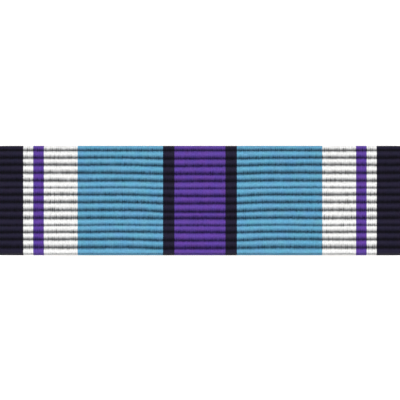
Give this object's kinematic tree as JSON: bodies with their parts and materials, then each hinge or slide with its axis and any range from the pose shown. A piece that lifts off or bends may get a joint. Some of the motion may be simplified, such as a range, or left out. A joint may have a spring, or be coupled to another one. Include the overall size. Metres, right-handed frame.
{
  "type": "ribbon bar",
  "caption": "Striped, ribbed ribbon folded round a flat metal bar, with a back plate, posts and clutches to pin it to a garment.",
  "frame": {"origin": "middle of the plane that the two clutches stand on, under the middle of the bar", "axes": "+X along the bar, +Y to the ribbon's top edge, +Z out of the ribbon's face, upwards as the bar lies on its clutches"},
  "size_m": [0.035, 0.0096, 0.0104],
  "materials": {
    "core_bar": "rolled strip, dull",
    "ribbon": "ribbed ribbon, warp striped in navy, white, purple and light blue, matt",
    "back_plate": "rolled sheet, satin, posts soldered on",
    "clutch": "drawn and tumbled, bright satin"
  },
  "bodies": {
    "root": {"core_bar": "core_bar", "ribbon": "ribbon", "back_plate": "back_plate", "clutch_left": "clutch", "clutch_right": "clutch"}
  },
  "joints": []
}
